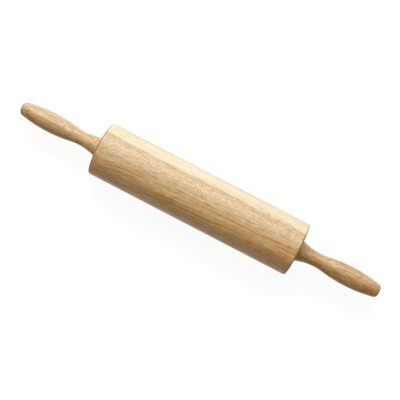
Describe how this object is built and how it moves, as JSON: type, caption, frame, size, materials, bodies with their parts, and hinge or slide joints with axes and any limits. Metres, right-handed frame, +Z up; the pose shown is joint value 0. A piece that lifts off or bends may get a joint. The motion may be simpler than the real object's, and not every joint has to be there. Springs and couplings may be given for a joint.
{
  "type": "rolling pin",
  "caption": "Wooden rolling pin with a free-turning oak barrel on a steel axle with ball bearings and two turned handles, for rolling out dough.",
  "frame": {"origin": "on the worktop under the middle of the barrel", "axes": "+X along the pin from the left handle to the right, +Z up; the pin's axis runs at 30 mm above the origin"},
  "size_m": [0.4292, 0.06, 0.06],
  "materials": {
    "barrel_oak": "satin oil, pale sapwood band along one side",
    "left_handle_oak": "satin oil",
    "right_handle_oak": "satin oil",
    "axle_steel": "drawn bright",
    "plate_steel": "zinc plated",
    "bearing_steel": "ground",
    "spring_steel": "black phosphate",
    "insert_brass": "machined",
    "cage_nylon": "moulded"
  },
  "bodies": {
    "grip_assembly": {"axle_rod": "axle_steel", "left_handle": "left_handle_oak", "left_insert_nut": "insert_brass", "left_thrust_washer": "plate_steel", "left_retaining_clip": "spring_steel", "left_bearing_inner_ring": "bearing_steel", "right_handle": "right_handle_oak", "right_insert_nut": "insert_brass", "right_thrust_washer": "plate_steel", "right_retaining_clip": "spring_steel", "right_bearing_inner_ring": "bearing_steel"},
    "barrel_assembly": {"barrel": "barrel_oak", "left_bearing_outer_ring": "bearing_steel", "left_bearing_outboard_shield": "plate_steel", "left_bearing_inboard_shield": "plate_steel", "right_bearing_outer_ring": "bearing_steel", "right_bearing_outboard_shield": "plate_steel", "right_bearing_inboard_shield": "plate_steel"},
    "left_ball_set": {"left_bearing_cage": "cage_nylon", "left_bearing_ball_1": "bearing_steel", "left_bearing_ball_2": "bearing_steel", "left_bearing_ball_3": "bearing_steel", "left_bearing_ball_4": "bearing_steel", "left_bearing_ball_5": "bearing_steel", "left_bearing_ball_6": "bearing_steel", "left_bearing_ball_7": "bearing_steel"},
    "right_ball_set": {"right_bearing_cage": "cage_nylon", "right_bearing_ball_1": "bearing_steel", "right_bearing_ball_2": "bearing_steel", "right_bearing_ball_3": "bearing_steel", "right_bearing_ball_4": "bearing_steel", "right_bearing_ball_5": "bearing_steel", "right_bearing_ball_6": "bearing_steel", "right_bearing_ball_7": "bearing_steel"}
  },
  "joints": [
    {"name": "barrel_spin", "type": "hinge", "parent": "grip_assembly", "child": "barrel_assembly", "pos_m": [0, 0, 0.03], "axis": [1, 0, 0], "continuous": true},
    {"name": "left_cage_spin", "type": "hinge", "parent": "grip_assembly", "child": "left_ball_set", "pos_m": [0, 0, 0.03], "axis": [1, 0, 0], "continuous": true},
    {"name": "right_cage_spin", "type": "hinge", "parent": "grip_assembly", "child": "right_ball_set", "pos_m": [0, 0, 0.03], "axis": [1, 0, 0], "continuous": true}
  ],
  "couplings": [
    {"joint": "left_cage_spin", "follows": "barrel_spin", "ratio": 0.62583},
    {"joint": "right_cage_spin", "follows": "barrel_spin", "ratio": 0.62583}
  ]
}
